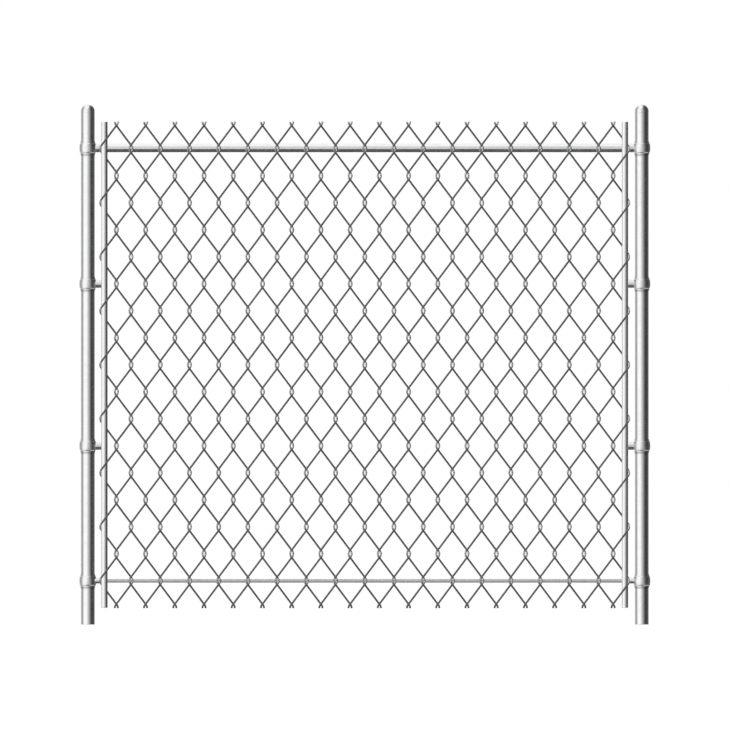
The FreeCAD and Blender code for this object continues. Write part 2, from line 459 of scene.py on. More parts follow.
@dataclass(frozen=True)
class ZincFinish:
    """One zinc-coated surface: its tone, its gloss and how strongly each effect shows."""

    name: str
    colour: tuple[float, float, float]
    roughness: float
    spangle_cells: float = 90.0
    spangle_contrast: float = 0.05
    mark_stretch: tuple[float, float, float] = (900.0, 900.0, 6.0)
    mark_strength: float = 0.04
    mark_depth: float = 0.004
    patch_size: float = 0.08
    patch_dullness: float = 0.04
    grain_scale: float = 1800.0
    grain_detail: float = 2.0
    grain_depth: float = 0.004
    bump_distance: float = 0.1 * MM
    tone_attribute: str = ""
    tone_spread: float = 0.0
    bend_highlight_gain: float = 0.0
    # How much the painted shade under each band darkens the tone
    painted_shade: float = 0.0

    def _tone_changes(
        self, sheet: NodeSheet, place: Socket, effects: ZincEffects, plan: PanelPlan,
    ) -> list[tuple[Socket, float]]:
        """Masks that make this finish lighter or darker in places, among them a painted highlight at the
        bends and painted shade under the bands.

        Args:
            sheet: the material's nodes.
            place: the place on the surface.
            effects: the shared shader groups.
            plan: where the bends and the bands are.

        Returns:
            Each mask, with the share of the tone that it adds where it is 1.
        """
        changes = []
        if self.tone_attribute:
            own = sheet.add("ShaderNodeAttribute", attribute_name=self.tone_attribute)
            changes.append((own.outputs["Fac"], self.tone_spread))
        # Painted highlight at the bends of the wire
        if self.bend_highlight_gain:
            rows = {"First Row": plan.fabric_bottom, "Spacing": plan.half_diamond}
            bends = sheet.result("ShaderNodeGroup", {"Vector": place, **rows}, node_tree=effects.bends)
            changes.append((bends, self.bend_highlight_gain))
        # Painted shade under each band, darkening the tone
        if self.painted_shade:
            levels = dict(zip(LEVEL_NAMES, plan.band_levels))
            painted_shade = sheet.result("ShaderNodeGroup", {"Vector": place, **levels}, node_tree=effects.painted_shade)
            changes.append((painted_shade, -self.painted_shade))
        return changes

    def material(self, effects: ZincEffects, plan: PanelPlan) -> Material:
        """Build the finish as a material.

        Args:
            effects: the shared shader groups.
            plan: where the bends and the bands are.

        Returns:
            The material.
        """
        material = bpy.data.materials.new(self.name)
        sheet = NodeSheet.emptied(material)
        place = sheet.add("ShaderNodeTexCoord").outputs["Object"]
        stretched = sheet.result("ShaderNodeMapping", {"Vector": place, "Scale": self.mark_stretch})
        spangle = sheet.add("ShaderNodeGroup", {
            "Vector": place, "Cells": self.spangle_cells, "Contrast": self.spangle_contrast,
        }, node_tree=effects.spangle).outputs
        marks = sheet.add("ShaderNodeGroup", {
            "Vector": stretched, "Strength": self.mark_strength,
        }, node_tree=effects.marks).outputs
        patches = sheet.result("ShaderNodeGroup", {
            "Vector": place, "Size": self.patch_size,
        }, node_tree=effects.patches)
        grain = sheet.result("ShaderNodeTexNoise", {
            "Vector": place, "Scale": self.grain_scale, "Detail": self.grain_detail,
        })

        tone = sheet.math("MULTIPLY", spangle["Tone"], marks["Tone"])
        for mask, gain in self._tone_changes(sheet, place, effects, plan):
            tone = sheet.math("MULTIPLY", tone, sheet.math("MULTIPLY_ADD", mask, gain, 1.0))
        dulled = sheet.math("MULTIPLY_ADD", patches, self.patch_dullness, self.roughness)
        lines = sheet.result("ShaderNodeBump", {
            "Height": marks["Height"], "Strength": self.mark_depth, "Distance": self.bump_distance,
        })
        skin = sheet.result("ShaderNodeBump", {
            "Height": grain, "Strength": self.grain_depth, "Distance": self.bump_distance,
            "Normal": lines,
        })
        shader = sheet.result("ShaderNodeBsdfPrincipled", {
            "Base Color": sheet.scaled(self.colour, tone),
            "Roughness": sheet.math("ADD", dulled, spangle["Dullness"]),
            "Metallic": 1.0,
            "Normal": skin,
        })
        sheet.add("ShaderNodeOutputMaterial", {"Surface": shader})
        return material


BRIGHT_ZINC = (0.72, 0.722, 0.726)
LENGTHWISE = (6.0, 900.0, 900.0)


class Finish(Enum):
    """The finishes of this panel."""

    # The posts carry painted shade under each band
    POST = ZincFinish("post_zinc", BRIGHT_ZINC, 0.22, painted_shade=0.4)
    RAIL = ZincFinish("rail_zinc", BRIGHT_ZINC, 0.24, mark_stretch=LENGTHWISE)
    ROD = ZincFinish("rod_zinc", (0.63, 0.632, 0.636), 0.66, mark_stretch=LENGTHWISE)
    # The fittings' lower skirts carry painted shade as well
    FITTING = ZincFinish(
        "fitting_zinc", (0.71, 0.71, 0.712), 0.25, spangle_cells=160.0, spangle_contrast=0.04,
        mark_strength=0.03, mark_stretch=(500.0, 500.0, 500.0), grain_depth=0.012, painted_shade=0.4,
    )
    BAR = ZincFinish("bar_zinc", (0.70, 0.702, 0.705), 0.24, spangle_cells=140.0, spangle_contrast=0.04)
    # The wire's bends carry a painted highlight
    WIRE = ZincFinish(
        "wire_zinc", (0.125, 0.126, 0.128), 0.32, spangle_cells=260.0, spangle_contrast=0.08,
        mark_stretch=(700.0, 700.0, 60.0), tone_attribute=PICKET_TONE, tone_spread=0.06, bend_highlight_gain=3.2,
    )
    FASTENER = ZincFinish(
        "fastener_zinc", (0.62, 0.622, 0.63), 0.3, spangle_cells=300.0,
        mark_stretch=(1200.0, 1200.0, 1200.0), grain_depth=0.012,
    )


Materials = dict[Finish, Material]


def zinc_materials(plan: PanelPlan) -> Materials:
    """Build the material of every finish."""
    effects = ZincEffects()
    return {finish: finish.value.material(effects, plan) for finish in Finish}


def join_rings(shape: BMesh, rings: Sequence[list[BMVert]], closed: bool = False) -> None:
    """Cover the surface between each ring of points and the next.

    Args:
        shape: the mesh to add to.
        rings: the rings, each as long as the others or a single point.
        closed: whether the last ring is joined to the first.
    """
    followers = rings[1:] + rings[:1] if closed else rings[1:]
    for low, high in zip(rings, followers):
        for step in range(max(len(low), len(high))):
            spots = ((low, step), (low, step + 1), (high, step + 1), (high, step))
            corners = [ring[place % len(ring)] for ring, place in spots]
            shape.faces.new(list(dict.fromkeys(corners)))


def add_turned(
    shape: BMesh,
    profile: Profile,
    sides: int,
    axis: Axis,
    centre: Vector,
    closed: bool = False,
    swell: Callable[[float], float] | None = None,
) -> None:
    """Add a solid turned about an axis.

    Args:
        shape: the mesh to add to.
        profile: (radius, place along the axis) of each corner of the outline.
        sides: how many sides a turn has.
        axis: the direction of the axis.
        centre: where the axis starts.
        closed: whether the outline runs back to its start, as a tube's does.
        swell: radius to add at an angle, for a seam.
    """
    rings = []
    for radius, along in profile:
        if radius < ON_AXIS:
            rings.append([shape.verts.new(axis.point(0.0, 0.0, along) + centre)])
            continue
        ring = []
        for step in range(sides):
            angle = math.tau * step / sides
            reach = radius + (swell(angle) if swell else 0.0)
            point = axis.point(reach * math.cos(angle), reach * math.sin(angle), along)
            ring.append(shape.verts.new(point + centre))
        rings.append(ring)
    join_rings(shape, rings, closed)


def tube_profile(outside: float, wall: float, start: float, end: float, chamfer: float) -> Profile:
    """Outline of a tube's wall, with its four rims broken.

    Args:
        outside: outer radius.
        wall: wall thickness.
        start: lower end.
        end: upper end.
        chamfer: width of the broken rims.

    Returns:
        The closed outline.
    """
    inside = outside - wall
    return (
        (outside - chamfer, start),
        (outside, start + chamfer),
        (outside, end - chamfer),
        (outside - chamfer, end),
        (inside + chamfer, end),
        (inside, end - chamfer),
        (inside, start + chamfer),
        (inside + chamfer, start),
    )


def put_in_scene(name: str, data: ID) -> Object:
    """Make an object of a mesh, a lamp or a camera, and put it in the scene.

    Args:
        name: the object's name.
        data: what it shows.

    Returns:
        The object, at the origin.
    """
    made = bpy.data.objects.new(name, data)
    bpy.context.scene.collection.objects.link(made)
    return made


def as_mesh(shape: BMesh, name: str) -> Mesh:
    """Turn a shape into a mesh.

    Args:
        shape: the shape, which is used up.
        name: the mesh's name.

    Returns:
        The mesh.
    """
    mesh = bpy.data.meshes.new(name)
    shape.to_mesh(mesh)
    shape.free()
    return mesh


def smooth_mesh(shape: BMesh, name: str) -> Mesh:
    """Turn a closed shape into a mesh that faces outwards, with its sharp edges marked.

    Args:
        shape: the shape, which is used up.
        name: the mesh's name.

    Returns:
        The mesh.
    """
    bmesh.ops.recalc_face_normals(shape, faces=shape.faces)
    mesh = as_mesh(shape, name)
    mesh.shade_smooth()
    mesh.set_sharp_from_angle(angle=SHARP_EDGE)
    return mesh


def as_piece(shape: BMesh, name: str, material: Material, slot: Slot, stands_for: str) -> Object:
    """Turn a finished shape into a piece that rides with the panel.

    Args:
        shape: the shape, which is used up.
        name: the piece's name.
        material: its finish.
        slot: the record's slot for that finish.
        stands_for: the solid that the piece takes the place of.

    Returns:
        The piece.
    """
    mesh = smooth_mesh(shape, name)
    mesh.materials.append(material)
    return settle(put_in_scene(name, mesh), slot, stands_for)


def settle(piece: Object, slot: Slot, *stands_for: str) -> Object:
    """Tie a piece to the panel and report it.

    Args:
        piece: the piece.
        slot: the record's slot for its finish; not used.
        stands_for: the solid that it takes the place of, if it does.

    Returns:
        The same piece.
    """
    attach(piece, BODY)
    if stands_for:
        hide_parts(*stands_for)
    LOG.info("%s: %d faces", piece.name, len(piece.data.polygons))
    return piece


def grown(name: str, tree: NodeTree, values: dict[str, object], seed_mesh: Mesh | None = None) -> Object:
    """Run a Geometry Nodes tree and keep its result as a plain mesh.

    Args:
        name: the piece's name.
        tree: the tree to run.
        values: a value for each of the tree's named inputs.
        seed_mesh: the mesh that goes in, where the tree repeats one.

    Returns:
        The piece, with no modifier left on it.
    """
    piece = put_in_scene(name, seed_mesh or bpy.data.meshes.new(name))
    modifier = piece.modifiers.new("growth", "NODES")
    modifier.node_group = tree
    for item in tree.interface.items_tree:
        if item.item_type == "SOCKET" and item.in_out == "INPUT" and item.name in values:
            modifier[item.identifier] = values[item.name]
    piece.update_tag()
    evaluated = piece.evaluated_get(bpy.context.evaluated_depsgraph_get())
    mesh = bpy.data.meshes.new_from_object(evaluated)
    piece.modifiers.clear()
    piece.data = mesh
    mesh.name = name
    return piece


def leave_out_of_mirrors(thing: Object) -> None:
    """Keep an object out of the metal's reflections, which then show the plain tent."""
    thing.visible_glossy = False


def dress_node(node: str, material: Material) -> None:
    """Give a carried-over solid its finish.

    Args:
        node: the solid's name.
        material: its finish.
    """
    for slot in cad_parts[node].material_slots:
        slot.material = material
    LOG.info("%s: dressed in %s", node, material.name)


@dataclass(frozen=True)
class PostSet:
    """One post with the cap and the four bands that stand on it."""

    plan: PanelPlan
    side: Side
    wall: float = 1.8 * MM
    rim: float = 0.35 * MM
    sides: int = 96
    seam_height: float = 0.14 * MM
    seam_angle: float = math.radians(62)
    seam_spread: float = math.radians(3.5)
    fittings: tuple[str, ...] = (
        "post_cap", "top_rail_band", "upper_tension_band", "lower_tension_band", "bottom_rod_band",
    )

    def _seam(self, angle: float) -> float:
        """Height of the tube's weld line at an angle round it."""
        return self.seam_height * math.exp(-((angle - self.seam_angle) / self.seam_spread) ** 2)

    def build(self, materials: Materials) -> None:
        """Make the tube, and dress the cap and the bands.

        Args:
            materials: the panel's materials.
        """
        shape = bmesh.new()
        profile = tube_profile(self.plan.post_radius, self.wall, 0.0, self.plan.post_top, self.rim)
        foot = Vector((self.plan.post_x[self.side], 0.0, 0.0))
        add_turned(shape, profile, self.sides, Axis.UP, foot, closed=True, swell=self._seam)
        name = self.side.value + "_post"
        as_piece(shape, name + "_tube", materials[Finish.POST], Slot.TUBE, name)
        for fitting in self.fittings:
            dress_node(self.side.value + "_" + fitting, materials[Finish.FITTING])


@dataclass(frozen=True)
class CrossPieces:
    """The top rail and the bottom rod."""

    plan: PanelPlan
    rail_wall: float = 2.0 * MM
    rim: float = 0.3 * MM
    rail_sides: int = 72
    rod_sides: int = 40

    def build(self, materials: Materials) -> None:
        """Make both pieces.

        Args:
            materials: the panel's materials.
        """
        plan = self.plan
        shape = bmesh.new()
        profile = tube_profile(plan.rail_radius, self.rail_wall, *plan.rail_ends, self.rim)
        centre = Vector((0.0, 0.0, plan.rail_level))
        add_turned(shape, profile, self.rail_sides, Axis.ALONG, centre, closed=True)
        as_piece(shape, "top_rail_tube", materials[Finish.RAIL], Slot.TUBE, "top_rail")

        shape = bmesh.new()
        start, end = plan.rod_ends
        profile = (
            (0.0, start),
            (plan.rod_radius - self.rim, start),
            (plan.rod_radius, start + self.rim),
            (plan.rod_radius, end - self.rim),
            (plan.rod_radius - self.rim, end),
            (0.0, end),
        )
        centre = Vector((0.0, plan.rod_depth, plan.rod_level))
        add_turned(shape, profile, self.rod_sides, Axis.ALONG, centre)
        as_piece(shape, "bottom_rod_bar", materials[Finish.ROD], Slot.BAR, "bottom_rod")


@dataclass(frozen=True)
class TensionBar:
    """A half-oval bar: flat behind, crowned in front."""

    plan: PanelPlan
    side: Side
    edge_thickness: float = 0.9 * MM
    rim: float = 0.25 * MM
    end_chamfer: float = 0.6 * MM
    end_inset: float = 0.3 * MM
    crown_steps: int = 24

    def _section(self, inset: float) -> list[tuple[float, float]]:
        """Outline of the bar's section.

        Args:
            inset: how far every edge lies inside the full section.

        Returns:
            (x, y) of each corner, once round.
        """
        left, right = self.plan.bar_spans[self.side]
        front, back = self.plan.bar_depths
        half = (right - left) / 2
        rise = back - self.edge_thickness - front
        radius = (half * half + rise * rise) / (2 * rise)
        sweep = math.asin(half / radius)
        centre = (left + right) / 2
        reach = radius - inset
        outline = []
        for step in range(self.crown_steps + 1):
            angle = sweep * (2 * step / self.crown_steps - 1)
            outline.append((centre + reach * math.sin(angle), front + radius - reach * math.cos(angle)))
        edge = half - inset
        outline += [
            (centre + edge, back - inset - self.rim),
            (centre + edge - self.rim, back - inset),
            (centre - edge + self.rim, back - inset),
            (centre - edge, back - inset - self.rim),
        ]
        return outline

    def build(self, materials: Materials) -> None:
        """Make the bar.

        Args:
            materials: the panel's materials.
        """
        bottom, top = self.plan.fabric_bottom, self.plan.fabric_top
        stations = (
            (bottom, self.end_inset),
            (bottom + self.end_chamfer, 0.0),
            (top - self.end_chamfer, 0.0),
            (top, self.end_inset),
        )
        shape = bmesh.new()
        rings = []
        for level, inset in stations:
            rings.append([shape.verts.new((x, y, level)) for x, y in self._section(inset)])
        join_rings(shape, rings)
        shape.faces.new(rings[0])
        shape.faces.new(rings[-1])
        side = self.side.value
        bar = as_piece(shape, side + "_half_oval_bar", materials[Finish.BAR], Slot.BAR, side + "_tension_bar")
        leave_out_of_mirrors(bar)


@dataclass(frozen=True)
class WovenFabric:
    """Upright zigzag wires, each hooked through the next at every bend."""

    plan: PanelPlan
    wire_diameter: float = 4.88 * MM
    pickets: int = 36
    edge_bend_offset: float = 35.1 * MM
    eye_half_width: float = 4.0 * MM
    eye_half_height: float = 4.0 * MM
    weave_clearance: float = 0.1 * MM
    bar_clearance: float = 0.02 * MM
    bend_radius: float = 11.0 * MM
    bend_steps: int = 3
    wire_sides: int = 12
    weld_distance: float = 0.01 * MM
    edge_cuts: int = 4
    tone_seed: int = 7

    # Inputs of the tree that draws one wire, which the fabric's tree hands on to it
    PATH_COUNTS = ("Turns", "Bend Steps")
    PATH_LENGTHS = (
        "Bend Spacing", "Half Diamond", "Bottom", "Plane", "Eye Half Width", "Eye Half Height",
        "Weave Depth", "Bend Radius",
    )

    # A bend has one point below its middle and one above, and the sides of a wire are four-cornered
    POINTS_A_BEND = 2.0
    SIDE_CORNERS = 4

    def _picket_tree(self) -> NodeTree:
        """Group that draws one wire, from its left column of bends.

        Returns:
            The group, with the output Curve.
        """
        sheet = NodeSheet(bpy.data.node_groups.new("picket_path", "GeometryNodeTree"))
        sheet.declare("Int", "Starts Left", *self.PATH_COUNTS)
        sheet.declare("Float", *self.PATH_LENGTHS)
        sheet.declare("Geometry", "Curve", output=True)
        given = sheet.entry()
        count = sheet.math("MULTIPLY", given["Turns"], self.POINTS_A_BEND)
        index = sheet.result("GeometryNodeInputIndex")
        turn = sheet.math("FLOOR", sheet.math("DIVIDE", index, self.POINTS_A_BEND))
        in_bend = sheet.math("MODULO", index, self.POINTS_A_BEND)
        on_left = sheet.math("MODULO", sheet.math("ADD", turn, given["Starts Left"]), 2.0)

        # -1 below a bend's middle and 1 above it, and -1 in the left column of bends and 1 in the right one
        above = sheet.math("MULTIPLY_ADD", in_bend, 2.0, -1.0)
        outward = sheet.math("MULTIPLY_ADD", on_left, -2.0, 1.0)
        at_start = sheet.math("LESS_THAN", index, HALF_STEP)
        at_end = sheet.math("GREATER_THAN", index, sheet.math("SUBTRACT", count, 1.0 + HALF_STEP))
        whole = sheet.math("SUBTRACT", sheet.math("SUBTRACT", 1.0, at_start), at_end)
        column = sheet.math("MULTIPLY", sheet.math("SUBTRACT", 1.0, on_left), given["Bend Spacing"])
        x = sheet.math("MULTIPLY_ADD", outward, given["Eye Half Width"], column)
        swing = sheet.math("MULTIPLY", above, whole)
        backward = sheet.math("MULTIPLY", swing, outward)
        y = sheet.math("MULTIPLY_ADD", backward, given["Weave Depth"], given["Plane"])
        level = sheet.math("MULTIPLY_ADD", turn, given["Half Diamond"], given["Bottom"])
        z = sheet.math("MULTIPLY_ADD", swing, given["Eye Half Height"], level)
        line = sheet.result("GeometryNodeMeshLine", {"Count": count})
        bent = sheet.result("GeometryNodeSetPosition", {"Geometry": line, "Position": sheet.vector(x, y, z)})
        rounded = sheet.result("GeometryNodeFilletCurve", {
            "Curve": sheet.result("GeometryNodeMeshToCurve", {"Mesh": bent}),
            "Count": given["Bend Steps"],
            "Radius": given["Bend Radius"],
            "Limit Radius": True,
        }, mode="POLY")
        return sheet.ending(Curve=rounded)

    def _drawn(self, sheet: NodeSheet, path: Socket, round_wire: Socket) -> Socket:
        """Draw wire along its path, and weld the rings that coincide in the middle of a bend.

        Args:
            sheet: the tree to add to.
            path: the wire's middle line.
            round_wire: the wire's section.

        Returns:
            The wire, closed at both ends.
        """
        wire = sheet.result("GeometryNodeCurveToMesh", {
            "Curve": path, "Profile Curve": round_wire, "Fill Caps": True,
        })
        return sheet.result("GeometryNodeMergeByDistance", {"Geometry": wire, "Distance": self.weld_distance})

    def _spread_at_bars(self, sheet: NodeSheet, paths: Sequence[Socket], given: NodeOutputs) -> Socket:
        """Ease the edge wires apart in depth, so that they pass round the tension bars.

        Args:
            sheet: the tree to add to.
            paths: middle lines of the two edge wires.
            given: the tree's own inputs.

        Returns:
            Both lines, eased.
        """
        both = sheet.add("GeometryNodeJoinGeometry")
        for path in paths:
            sheet.feed(both.inputs[0], path)
        cut = sheet.result("GeometryNodeSubdivideCurve", {
            "Curve": both.outputs[0], "Cuts": given["Edge Cuts"],
        })
        x, y, z = sheet.parts(sheet.result("GeometryNodeInputPosition"))
        off_middle = sheet.math("ABSOLUTE", sheet.math("SUBTRACT", x, given["Panel Middle"]))
        from_post = sheet.math("SUBTRACT", given["Panel Middle"], off_middle)
        spread = sheet.ramp(from_post, given["Bar Reach"], given["Weave Reach"], given["Edge Spread"], 1.0)
        depth = sheet.math("SUBTRACT", y, given["Plane"])
        eased = sheet.vector(x, sheet.math("MULTIPLY_ADD", depth, spread, given["Plane"]), z)
        return sheet.result("GeometryNodeSetPosition", {"Geometry": cut, "Position": eased})

    def _fabric_tree(self) -> NodeTree:
        """Tree that weaves the whole fabric.

        Returns:
            The tree, with the output Geometry.
        """
        picket = self._picket_tree()
        sheet = NodeSheet(bpy.data.node_groups.new("woven_fabric", "GeometryNodeTree"))
        sheet.declare("Int", *self.PATH_COUNTS, "Wire Sides", "Pairs Inside", "Edge Cuts", "Seed")
        sheet.declare(
            "Float", *self.PATH_LENGTHS, "Wire Radius", "First Column", "Panel Middle", "Edge Spread",
            "Bar Reach", "Weave Reach",
        )
        sheet.declare("Material", "Finish")
        sheet.declare("Geometry", "Geometry", output=True)
        given = sheet.entry()
        handed_on = {name: given[name] for name in self.PATH_COUNTS + self.PATH_LENGTHS}
        pair = sheet.math("MULTIPLY", given["Bend Spacing"], 2.0)
        second = sheet.math("ADD", given["First Column"], given["Bend Spacing"])
        third = sheet.math("ADD", given["First Column"], pair)
        last = sheet.math("MULTIPLY_ADD", given["Pairs Inside"], pair, second)
        round_wire = sheet.result("GeometryNodeCurvePrimitiveCircle", {
            "Resolution": given["Wire Sides"], "Radius": given["Wire Radius"],
        })

        fabric = sheet.add("GeometryNodeJoinGeometry")
        edges = []
        for starts_left, first_inside, edge in ((0, third, given["First Column"]), (1, second, last)):
            path = sheet.result("GeometryNodeGroup", {
                "Starts Left": starts_left, **handed_on,
            }, node_tree=picket)
            row = sheet.result("GeometryNodeMeshLine", {
                "Count": given["Pairs Inside"],
                "Start Location": sheet.vector(first_inside),
                "Offset": sheet.vector(pair),
            })
            copies = sheet.result("GeometryNodeInstanceOnPoints", {
                "Points": row, "Instance": self._drawn(sheet, path, round_wire),
            })
            tone = sheet.draw(-1.0, 1.0, sheet.math("ADD", given["Seed"], float(starts_left)))
            toned = sheet.result("GeometryNodeStoreNamedAttribute", {
                "Geometry": copies, "Name": PICKET_TONE, "Value": tone,
            }, data_type="FLOAT", domain="INSTANCE")
            sheet.feed(fabric.inputs[0], toned)
            shift = sheet.vector(edge)
            edges.append(sheet.result("GeometryNodeTransform", {"Geometry": path, "Translation": shift}))
        eased = self._spread_at_bars(sheet, edges, given)
        sheet.feed(fabric.inputs[0], self._drawn(sheet, eased, round_wire))

        real = sheet.result("GeometryNodeRealizeInstances", {0: fabric.outputs[0]})
        corners = sheet.add("GeometryNodeInputMeshFaceNeighbors").outputs["Vertex Count"]
        on_side = sheet.math("LESS_THAN", corners, self.SIDE_CORNERS + HALF_STEP)
        smooth = sheet.result("GeometryNodeSetShadeSmooth", {"Geometry": real, "Shade Smooth": on_side})
        dressed = sheet.result("GeometryNodeSetMaterial", {"Geometry": smooth, "Material": given["Finish"]})
        return sheet.ending(Geometry=dressed)

    def build(self, materials: Materials) -> None:
        """Weave the fabric.

        Args:
            materials: the panel's materials.
        """
        plan = self.plan
        left, right = plan.post_x[Side.LEFT], plan.post_x[Side.RIGHT]
        spacing = (right - left - 2 * self.edge_bend_offset) / self.pickets
        weave_depth = (self.wire_diameter + self.weave_clearance) / 2
        front, back = plan.bar_depths
        edge_depth = (back - front + self.wire_diameter) / 2 + self.bar_clearance
        bar_inner_edge = plan.bar_spans[Side.LEFT][1] - left
        eye_edge = self.edge_bend_offset + spacing - self.eye_half_width - self.wire_diameter / 2
        piece = grown("woven_fabric", self._fabric_tree(), {
            "Turns": 2 * DIAMOND_ROWS + 1,
            "Bend Spacing": spacing,
            "Half Diamond": plan.half_diamond,
            "Bottom": plan.fabric_bottom,
            "Plane": (front + back) / 2,
            "Eye Half Width": self.eye_half_width,
            "Eye Half Height": self.eye_half_height,
            "Weave Depth": weave_depth,
            "Bend Radius": self.bend_radius,
            "Bend Steps": self.bend_steps,
            "Wire Radius": self.wire_diameter / 2,
            "Wire Sides": self.wire_sides,
            "First Column": left + self.edge_bend_offset,
            "Panel Middle": (left + right) / 2,
            "Edge Spread": edge_depth / weave_depth,
            "Bar Reach": bar_inner_edge + self.wire_diameter,
            "Weave Reach": eye_edge,
            "Pairs Inside": self.pickets // 2 - 1,
            "Edge Cuts": self.edge_cuts,
            "Seed": self.tone_seed,
            "Finish": materials[Finish.WIRE],
        })
        settle(piece, Slot.WIRE, "chain_link_fabric")
        leave_out_of_mirrors(piece)


@dataclass(frozen=True)
class Fasteners:
    """Clamp bolts through the bands' ears, and the rivets that hold the bars to their arms."""

    plan: PanelPlan
    ear_round: float = 9.5 * MM
    ear_faces: float = 5.5 * MM
    shank_radius: float = 3.0 * MM
    head_radius: float = 6.8 * MM
    head_height: float = 3.6 * MM
    head_rim: float = 0.7 * MM
    washer_radius: float = 6.4 * MM
    washer_thickness: float = 1.2 * MM
    washer_rim: float = 0.24 * MM
    nut_radius: float = 5.7 * MM
    nut_height: float = 5.0 * MM
    nut_rim: float = 0.5 * MM
    nut_sides: int = 6
    thread_pitch: float = 1.0 * MM
    thread_depth: float = 0.45 * MM
    thread_turns: int = 3
    arm_radius: float = 10.0 * MM
    rivet_radius: float = 4.6 * MM
    rivet_height: float = 2.8 * MM
    rivet_rim: float = 0.7 * MM
    rivet_sink: float = 1.2 * MM
    dome_steps: int = 7
    sides: int = 28
    twist_seed: int = 11

    def _dome(self, radius: float, height: float, rim: float) -> list[tuple[float, float]]:
        """Outline of a domed head, from its crown to its flat face.

        Args:
            radius: the head's radius.
            height: its height over the face that it sits on.
            rim: height of its straight edge.

        Returns:
            (radius, place) pairs, with the face at 0 and the crown below it.
        """
        rise = height - rim
        ball = (radius * radius + rise * rise) / (2 * rise)
        sweep = math.asin(radius / ball)
        outline = []
        for step in range(self.dome_steps + 1):
            angle = sweep * step / self.dome_steps
            outline.append((ball * math.sin(angle), ball - height - ball * math.cos(angle)))
        return outline + [(radius, 0.0)]

    def _bolt(self) -> Mesh:
        """One clamp bolt with its washer and nut, along X, centred between the ears.

        Returns:
            The mesh.
        """
        dome = self._dome(self.head_radius, self.head_height, self.head_rim)
        head = [(radius, place - self.ear_faces) for radius, place in dome]
        nut_start = self.ear_faces + self.washer_thickness
        nut_end = nut_start + self.nut_height
        valley_radius = self.shank_radius - self.thread_depth
        shank = [(self.shank_radius, -self.ear_faces)]
        for turn in range(self.thread_turns):
            valley = nut_end + turn * self.thread_pitch
            shank += [(valley_radius, valley), (self.shank_radius, valley + self.thread_pitch / 2)]
        tip = nut_end + self.thread_turns * self.thread_pitch
        shank += [(valley_radius, tip), (0.0, tip)]
        shape = bmesh.new()
        add_turned(shape, head + shank, self.sides, Axis.ALONG, Vector())
        for radius, start, end, rim, sides in (
            (self.washer_radius, self.ear_faces, nut_start, self.washer_rim, self.sides),
            (self.nut_radius, nut_start, nut_end, self.nut_rim, self.nut_sides),
        ):
            profile = tube_profile(radius, radius - self.shank_radius, start, end, rim)
            add_turned(shape, profile, sides, Axis.ALONG, Vector(), closed=True)
        return smooth_mesh(shape, "clamp_bolt")

    def _rivet(self) -> Mesh:
        """One rivet head, along Y, with its flat face at the origin.

        Returns:
            The mesh.
        """
        shape = bmesh.new()
        dome = self._dome(self.rivet_radius, self.rivet_height, self.rivet_rim)
        outline = [(radius, -place) for radius, place in dome] + [(0.0, 0.0)]
        add_turned(shape, outline, self.sides, Axis.BACK, Vector())
        return smooth_mesh(shape, "bar_rivet")

    def _rows_tree(self) -> NodeTree:
        """Tree that repeats one fastener at the same levels on both posts.

        Returns:
            The tree, with the output Geometry.
        """
        sheet = NodeSheet(bpy.data.node_groups.new("fastener_rows", "GeometryNodeTree"))
        sheet.declare("Geometry", "Geometry")
        sheet.declare("Float", "Left Place", "Right Place", "Depth", "Most Twist", *LEVEL_NAMES)
        sheet.declare("Int", "Level Count", "Seed", default=1)
        sheet.declare("Material", "Finish")
        sheet.declare("Geometry", "Geometry", output=True)
        given = sheet.entry()
        index = sheet.result("GeometryNodeInputIndex")
        on_right = sheet.math("FLOOR", sheet.math("DIVIDE", index, given["Level Count"]))
        level = sheet.add("GeometryNodeIndexSwitch", data_type="FLOAT")
        while len(level.index_switch_items) < BAND_ROWS:
            level.index_switch_items.new()
        sheet.feed(level.inputs["Index"], sheet.math("MODULO", index, given["Level Count"]))
        for number, name in enumerate(LEVEL_NAMES):
            sheet.feed(level.inputs[number + 1], given[name])
        gap = sheet.math("SUBTRACT", given["Right Place"], given["Left Place"])
        x = sheet.math("MULTIPLY_ADD", on_right, gap, given["Left Place"])
        count = sheet.math("MULTIPLY", given["Level Count"], float(len(Side)))
        placed = sheet.result("GeometryNodeSetPosition", {
            "Geometry": sheet.result("GeometryNodeMeshLine", {"Count": count}),
            "Position": sheet.vector(x, given["Depth"], level.outputs[0]),
        })
        twist = sheet.draw(0.0, given["Most Twist"], given["Seed"])
        turned_about = sheet.math("MULTIPLY", on_right, math.pi)
        copies = sheet.result("GeometryNodeInstanceOnPoints", {
            "Points": placed,
            "Instance": given["Geometry"],
            "Rotation": sheet.vector(twist, 0.0, turned_about),
        })
        real = sheet.result("GeometryNodeRealizeInstances", {0: copies})
        dressed = sheet.result("GeometryNodeSetMaterial", {"Geometry": real, "Material": given["Finish"]})
        return sheet.ending(Geometry=dressed)

    def build(self, materials: Materials) -> None:
        """Set the bolts and the rivets.

        Args:
            materials: the panel's materials.
        """
        plan = self.plan
        tree = self._rows_tree()
        bolts = grown("clamp_bolts", tree, {
            "Left Place": plan.post_x[Side.LEFT],
            "Right Place": plan.post_x[Side.RIGHT],
            "Depth": plan.ear_tip - self.ear_round,
            "Most Twist": math.tau,
            "Level Count": len(plan.band_levels),
            **dict(zip(LEVEL_NAMES, plan.band_levels)),
            "Seed": self.twist_seed,
            "Finish": materials[Finish.FASTENER],
        }, self._bolt())
        settle(bolts, Slot.FITTING)
        rivets = grown("bar_rivets", tree, {
            "Left Place": sum(plan.bar_spans[Side.LEFT]) / 2,
            "Right Place": sum(plan.bar_spans[Side.RIGHT]) / 2,
            "Depth": self.arm_radius - self.rivet_sink,
            "Level Count": len(plan.arm_levels),
            **dict(zip(LEVEL_NAMES, plan.arm_levels)),
            "Finish": materials[Finish.FASTENER],
        }, self._rivet())
        settle(rivets, Slot.FITTING)


